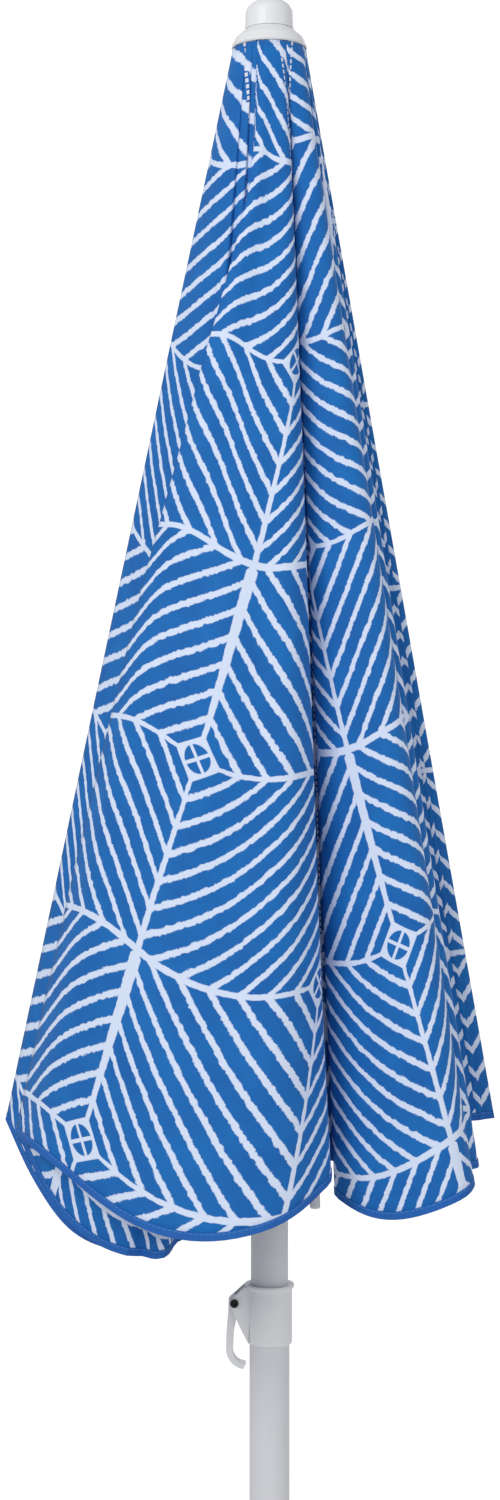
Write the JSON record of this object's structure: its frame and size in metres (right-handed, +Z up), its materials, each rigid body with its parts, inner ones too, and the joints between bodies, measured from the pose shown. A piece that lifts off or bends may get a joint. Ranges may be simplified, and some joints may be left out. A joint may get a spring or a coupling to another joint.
{
  "type": "beach umbrella",
  "caption": "Closed beach umbrella with a telescoping pole, lever clamp, folding ribs and struts, sliding runner and printed fabric canopy.",
  "frame": {"origin": "centre of the foot plug's flat lower end, on the pole's axis", "axes": "+Z up along the pole to the cap, -Y to the front, -X towards the clamp lever"},
  "size_m": [0.41, 0.41, 2.0485],
  "materials": {
    "canopy_fabric": "woven polyester, blue print on white",
    "tube_paint": "satin white powder coat",
    "white_plastic": "satin moulded",
    "coated_steel": "white coated",
    "wire_steel": "drawn wire",
    "black_screw": "black oxide"
  },
  "bodies": {
    "lower": {"lower_pole": "tube_paint", "foot_plug": "white_plastic", "clamp_collar": "white_plastic", "clamp_pin": "black_screw"},
    "lever": {"clamp_lever": "white_plastic"},
    "upper": {"upper_pole": "tube_paint", "pole_end_bush": "white_plastic", "crown_hub": "white_plastic", "crown_wire_ring": "wire_steel", "canopy_flange": "white_plastic", "finial_cap": "white_plastic"},
    "runner": {"runner": "white_plastic", "runner_wire_ring": "wire_steel"},
    "rib_1": {"rib_1": "coated_steel", "rib_tip_1": "white_plastic"},
    "strut_1": {"strut_1": "coated_steel"},
    "rib_2": {"rib_2": "coated_steel", "rib_tip_2": "white_plastic"},
    "strut_2": {"strut_2": "coated_steel"},
    "rib_3": {"rib_3": "coated_steel", "rib_tip_3": "white_plastic"},
    "strut_3": {"strut_3": "coated_steel"},
    "rib_4": {"rib_4": "coated_steel", "rib_tip_4": "white_plastic"},
    "strut_4": {"strut_4": "coated_steel"},
    "rib_5": {"rib_5": "coated_steel", "rib_tip_5": "white_plastic"},
    "strut_5": {"strut_5": "coated_steel"},
    "rib_6": {"rib_6": "coated_steel", "rib_tip_6": "white_plastic"},
    "strut_6": {"strut_6": "coated_steel"},
    "rib_7": {"rib_7": "coated_steel", "rib_tip_7": "white_plastic"},
    "strut_7": {"strut_7": "coated_steel"},
    "rib_8": {"rib_8": "coated_steel", "rib_tip_8": "white_plastic"},
    "strut_8": {"strut_8": "coated_steel"},
    "panel_1_left": {"canopy_1_left": "canopy_fabric"},
    "panel_1_right": {"canopy_1_right": "canopy_fabric"},
    "panel_2_left": {"canopy_2_left": "canopy_fabric"},
    "panel_2_right": {"canopy_2_right": "canopy_fabric"},
    "panel_3_left": {"canopy_3_left": "canopy_fabric"},
    "panel_3_right": {"canopy_3_right": "canopy_fabric"},
    "panel_4_left": {"canopy_4_left": "canopy_fabric"},
    "panel_4_right": {"canopy_4_right": "canopy_fabric"},
    "panel_5_left": {"canopy_5_left": "canopy_fabric"},
    "panel_5_right": {"canopy_5_right": "canopy_fabric"},
    "panel_6_left": {"canopy_6_left": "canopy_fabric"},
    "panel_6_right": {"canopy_6_right": "canopy_fabric"},
    "panel_7_left": {"canopy_7_left": "canopy_fabric"},
    "panel_7_right": {"canopy_7_right": "canopy_fabric"},
    "panel_8_left": {"canopy_8_left": "canopy_fabric"},
    "panel_8_right": {"canopy_8_right": "canopy_fabric"}
  },
  "joints": [
    {"name": "height_slide", "type": "slide", "parent": "lower", "child": "upper", "axis": [0, 0, 1], "range_m": [0, 0.2]},
    {"name": "clamp_lever_flip", "type": "hinge", "parent": "lower", "child": "lever", "pos_m": [-0.0285, 0, 0.9935], "axis": [0, 1, 0], "range_deg": [0, 110]},
    {"name": "canopy_open", "type": "hinge", "parent": "upper", "child": "rib_1", "pos_m": [0.0103, -0.02112, 2.003], "axis": [-0.8988, -0.4384, 0], "range_deg": [0, 68.5]},
    {"name": "strut_1_fold", "type": "hinge", "parent": "rib_1", "child": "strut_1", "pos_m": [0.02154, -0.04417, 1.58378], "axis": [-0.8988, -0.4384, 0], "range_deg": [-137, 0]},
    {"name": "rib_2_open", "type": "hinge", "parent": "upper", "child": "rib_2", "pos_m": [0.02222, -0.00765, 2.003], "axis": [-0.3256, -0.9455, 0], "range_deg": [0, 68.5]},
    {"name": "strut_2_fold", "type": "hinge", "parent": "rib_2", "child": "strut_2", "pos_m": [0.04646, -0.016, 1.58378], "axis": [-0.3256, -0.9455, 0], "range_deg": [-137, 0]},
    {"name": "rib_3_open", "type": "hinge", "parent": "upper", "child": "rib_3", "pos_m": [0.02112, 0.0103, 2.003], "axis": [0.4384, -0.8988, 0], "range_deg": [0, 68.5]},
    {"name": "strut_3_fold", "type": "hinge", "parent": "rib_3", "child": "strut_3", "pos_m": [0.04417, 0.02154, 1.58378], "axis": [0.4384, -0.8988, 0], "range_deg": [-137, 0]},
    {"name": "rib_4_open", "type": "hinge", "parent": "upper", "child": "rib_4", "pos_m": [0.00765, 0.02222, 2.003], "axis": [0.9455, -0.3256, 0], "range_deg": [0, 68.5]},
    {"name": "strut_4_fold", "type": "hinge", "parent": "rib_4", "child": "strut_4", "pos_m": [0.016, 0.04646, 1.58378], "axis": [0.9455, -0.3256, 0], "range_deg": [-137, 0]},
    {"name": "rib_5_open", "type": "hinge", "parent": "upper", "child": "rib_5", "pos_m": [-0.0103, 0.02112, 2.003], "axis": [0.8988, 0.4384, 0], "range_deg": [0, 68.5]},
    {"name": "strut_5_fold", "type": "hinge", "parent": "rib_5", "child": "strut_5", "pos_m": [-0.02154, 0.04417, 1.58378], "axis": [0.8988, 0.4384, 0], "range_deg": [-137, 0]},
    {"name": "rib_6_open", "type": "hinge", "parent": "upper", "child": "rib_6", "pos_m": [-0.02222, 0.00765, 2.003], "axis": [0.3256, 0.9455, 0], "range_deg": [0, 68.5]},
    {"name": "strut_6_fold", "type": "hinge", "parent": "rib_6", "child": "strut_6", "pos_m": [-0.04646, 0.016, 1.58378], "axis": [0.3256, 0.9455, 0], "range_deg": [-137, 0]},
    {"name": "rib_7_open", "type": "hinge", "parent": "upper", "child": "rib_7", "pos_m": [-0.02112, -0.0103, 2.003], "axis": [-0.4384, 0.8988, 0], "range_deg": [0, 68.5]},
    {"name": "strut_7_fold", "type": "hinge", "parent": "rib_7", "child": "strut_7", "pos_m": [-0.04417, -0.02154, 1.58378], "axis": [-0.4384, 0.8988, 0], "range_deg": [-137, 0]},
    {"name": "rib_8_open", "type": "hinge", "parent": "upper", "child": "rib_8", "pos_m": [-0.00765, -0.02222, 2.003], "axis": [-0.9455, 0.3256, 0], "range_deg": [0, 68.5]},
    {"name": "strut_8_fold", "type": "hinge", "parent": "rib_8", "child": "strut_8", "pos_m": [-0.016, -0.04646, 1.58378], "axis": [-0.9455, 0.3256, 0], "range_deg": [-137, 0]},
    {"name": "runner_ride", "type": "hinge", "parent": "strut_1", "child": "runner", "pos_m": [0.0103, -0.02112, 1.16457], "axis": [-0.8988, -0.4384, 0], "range_deg": [0, 68.5]},
    {"name": "panel_1_left_spread", "type": "hinge", "parent": "rib_8", "child": "panel_1_left", "pos_m": [-0.00765, -0.02222, 2.003], "axis": [-0.2027, -0.9774, 0.0604], "range_deg": [0, 33.63], "deforming": ["canopy_1_left"]},
    {"name": "panel_1_right_spread", "type": "hinge", "parent": "rib_1", "child": "panel_1_right", "pos_m": [0.0103, -0.02112, 2.003], "axis": [-0.8204, 0.5388, 0.1913], "range_deg": [0, 10.59], "deforming": ["canopy_1_right"]},
    {"name": "panel_2_left_spread", "type": "hinge", "parent": "rib_1", "child": "panel_2_left", "pos_m": [0.0103, -0.02112, 2.003], "axis": [0.6083, -0.7886, 0.0899], "range_deg": [0, 18.12], "deforming": ["canopy_2_left"]},
    {"name": "panel_2_right_spread", "type": "hinge", "parent": "rib_2", "child": "panel_2_right", "pos_m": [0.02222, -0.00765, 2.003], "axis": [-0.8435, 0.528, -0.0992], "range_deg": [0, 20.93], "deforming": ["canopy_2_right"]},
    {"name": "panel_3_left_spread", "type": "hinge", "parent": "rib_2", "child": "panel_3_left", "pos_m": [0.02222, -0.00765, 2.003], "axis": [0.9737, 0.1325, 0.1852], "range_deg": [0, 19.16], "deforming": ["canopy_3_left"]},
    {"name": "panel_3_right_spread", "type": "hinge", "parent": "rib_3", "child": "panel_3_right", "pos_m": [0.02112, 0.0103, 2.003], "axis": [-0.9827, 0.0121, -0.1849], "range_deg": [0, 19.37], "deforming": ["canopy_3_right"]},
    {"name": "panel_4_left_spread", "type": "hinge", "parent": "rib_3", "child": "panel_4_left", "pos_m": [0.02112, 0.0103, 2.003], "axis": [0.5954, 0.7819, 0.1849], "range_deg": [0, 19.16], "deforming": ["canopy_4_left"]},
    {"name": "panel_4_right_spread", "type": "hinge", "parent": "rib_4", "child": "panel_4_right", "pos_m": [0.00765, 0.02222, 2.003], "axis": [-0.703, -0.6868, -0.1846], "range_deg": [0, 19.37], "deforming": ["canopy_4_right"]},
    {"name": "panel_5_left_spread", "type": "hinge", "parent": "rib_4", "child": "panel_5_left", "pos_m": [0.00765, 0.02222, 2.003], "axis": [-0.1318, 0.9739, 0.1849], "range_deg": [0, 19.16], "deforming": ["canopy_5_left"]},
    {"name": "panel_5_right_spread", "type": "hinge", "parent": "rib_5", "child": "panel_5_right", "pos_m": [-0.0103, 0.02112, 2.003], "axis": [-0.0114, -0.9827, -0.1846], "range_deg": [0, 19.37], "deforming": ["canopy_5_right"]},
    {"name": "panel_6_left_spread", "type": "hinge", "parent": "rib_5", "child": "panel_6_left", "pos_m": [-0.0103, 0.02112, 2.003], "axis": [-0.7814, 0.596, 0.1846], "range_deg": [0, 19.37], "deforming": ["canopy_6_left"]},
    {"name": "panel_6_right_spread", "type": "hinge", "parent": "rib_6", "child": "panel_6_right", "pos_m": [-0.02222, 0.00765, 2.003], "axis": [0.6862, -0.7035, -0.1849], "range_deg": [0, 19.16], "deforming": ["canopy_6_right"]},
    {"name": "panel_7_left_spread", "type": "hinge", "parent": "rib_6", "child": "panel_7_left", "pos_m": [-0.02222, 0.00765, 2.003], "axis": [-0.9834, -0.075, 0.165], "range_deg": [0, 23.95], "deforming": ["canopy_7_left"]},
    {"name": "panel_7_right_spread", "type": "hinge", "parent": "rib_7", "child": "panel_7_right", "pos_m": [-0.02112, -0.0103, 2.003], "axis": [0.9851, 0.0361, -0.1682], "range_deg": [0, 14.48], "deforming": ["canopy_7_right"]},
    {"name": "panel_8_left_spread", "type": "hinge", "parent": "rib_7", "child": "panel_8_left", "pos_m": [-0.02112, -0.0103, 2.003], "axis": [-0.6905, -0.7091, 0.1428], "range_deg": [0, 29.84], "deforming": ["canopy_8_left"]},
    {"name": "panel_8_right_spread", "type": "hinge", "parent": "rib_8", "child": "panel_8_right", "pos_m": [-0.00765, -0.02222, 2.003], "axis": [0.5358, 0.838, -0.1029], "range_deg": [0, 8.75], "deforming": ["canopy_8_right"]}
  ],
  "couplings": [
    {"joint": "strut_1_fold", "follows": "canopy_open", "ratio": -2},
    {"joint": "rib_2_open", "follows": "canopy_open", "ratio": 1},
    {"joint": "strut_2_fold", "follows": "canopy_open", "ratio": -2},
    {"joint": "rib_3_open", "follows": "canopy_open", "ratio": 1},
    {"joint": "strut_3_fold", "follows": "canopy_open", "ratio": -2},
    {"joint": "rib_4_open", "follows": "canopy_open", "ratio": 1},
    {"joint": "strut_4_fold", "follows": "canopy_open", "ratio": -2},
    {"joint": "rib_5_open", "follows": "canopy_open", "ratio": 1},
    {"joint": "strut_5_fold", "follows": "canopy_open", "ratio": -2},
    {"joint": "rib_6_open", "follows": "canopy_open", "ratio": 1},
    {"joint": "strut_6_fold", "follows": "canopy_open", "ratio": -2},
    {"joint": "rib_7_open", "follows": "canopy_open", "ratio": 1},
    {"joint": "strut_7_fold", "follows": "canopy_open", "ratio": -2},
    {"joint": "rib_8_open", "follows": "canopy_open", "ratio": 1},
    {"joint": "strut_8_fold", "follows": "canopy_open", "ratio": -2},
    {"joint": "runner_ride", "follows": "canopy_open", "ratio": 1},
    {"joint": "panel_1_left_spread", "follows": "canopy_open", "ratio": 0.49093},
    {"joint": "panel_1_right_spread", "follows": "canopy_open", "ratio": 0.15458},
    {"joint": "panel_2_left_spread", "follows": "canopy_open", "ratio": 0.2646},
    {"joint": "panel_2_right_spread", "follows": "canopy_open", "ratio": 0.30552},
    {"joint": "panel_3_left_spread", "follows": "canopy_open", "ratio": 0.27969},
    {"joint": "panel_3_right_spread", "follows": "canopy_open", "ratio": 0.28274},
    {"joint": "panel_4_left_spread", "follows": "canopy_open", "ratio": 0.27969},
    {"joint": "panel_4_right_spread", "follows": "canopy_open", "ratio": 0.28273},
    {"joint": "panel_5_left_spread", "follows": "canopy_open", "ratio": 0.27969},
    {"joint": "panel_5_right_spread", "follows": "canopy_open", "ratio": 0.28273},
    {"joint": "panel_6_left_spread", "follows": "canopy_open", "ratio": 0.28273},
    {"joint": "panel_6_right_spread", "follows": "canopy_open", "ratio": 0.27969},
    {"joint": "panel_7_left_spread", "follows": "canopy_open", "ratio": 0.34968},
    {"joint": "panel_7_right_spread", "follows": "canopy_open", "ratio": 0.21139},
    {"joint": "panel_8_left_spread", "follows": "canopy_open", "ratio": 0.43559},
    {"joint": "panel_8_right_spread", "follows": "canopy_open", "ratio": 0.12775}
  ]
}
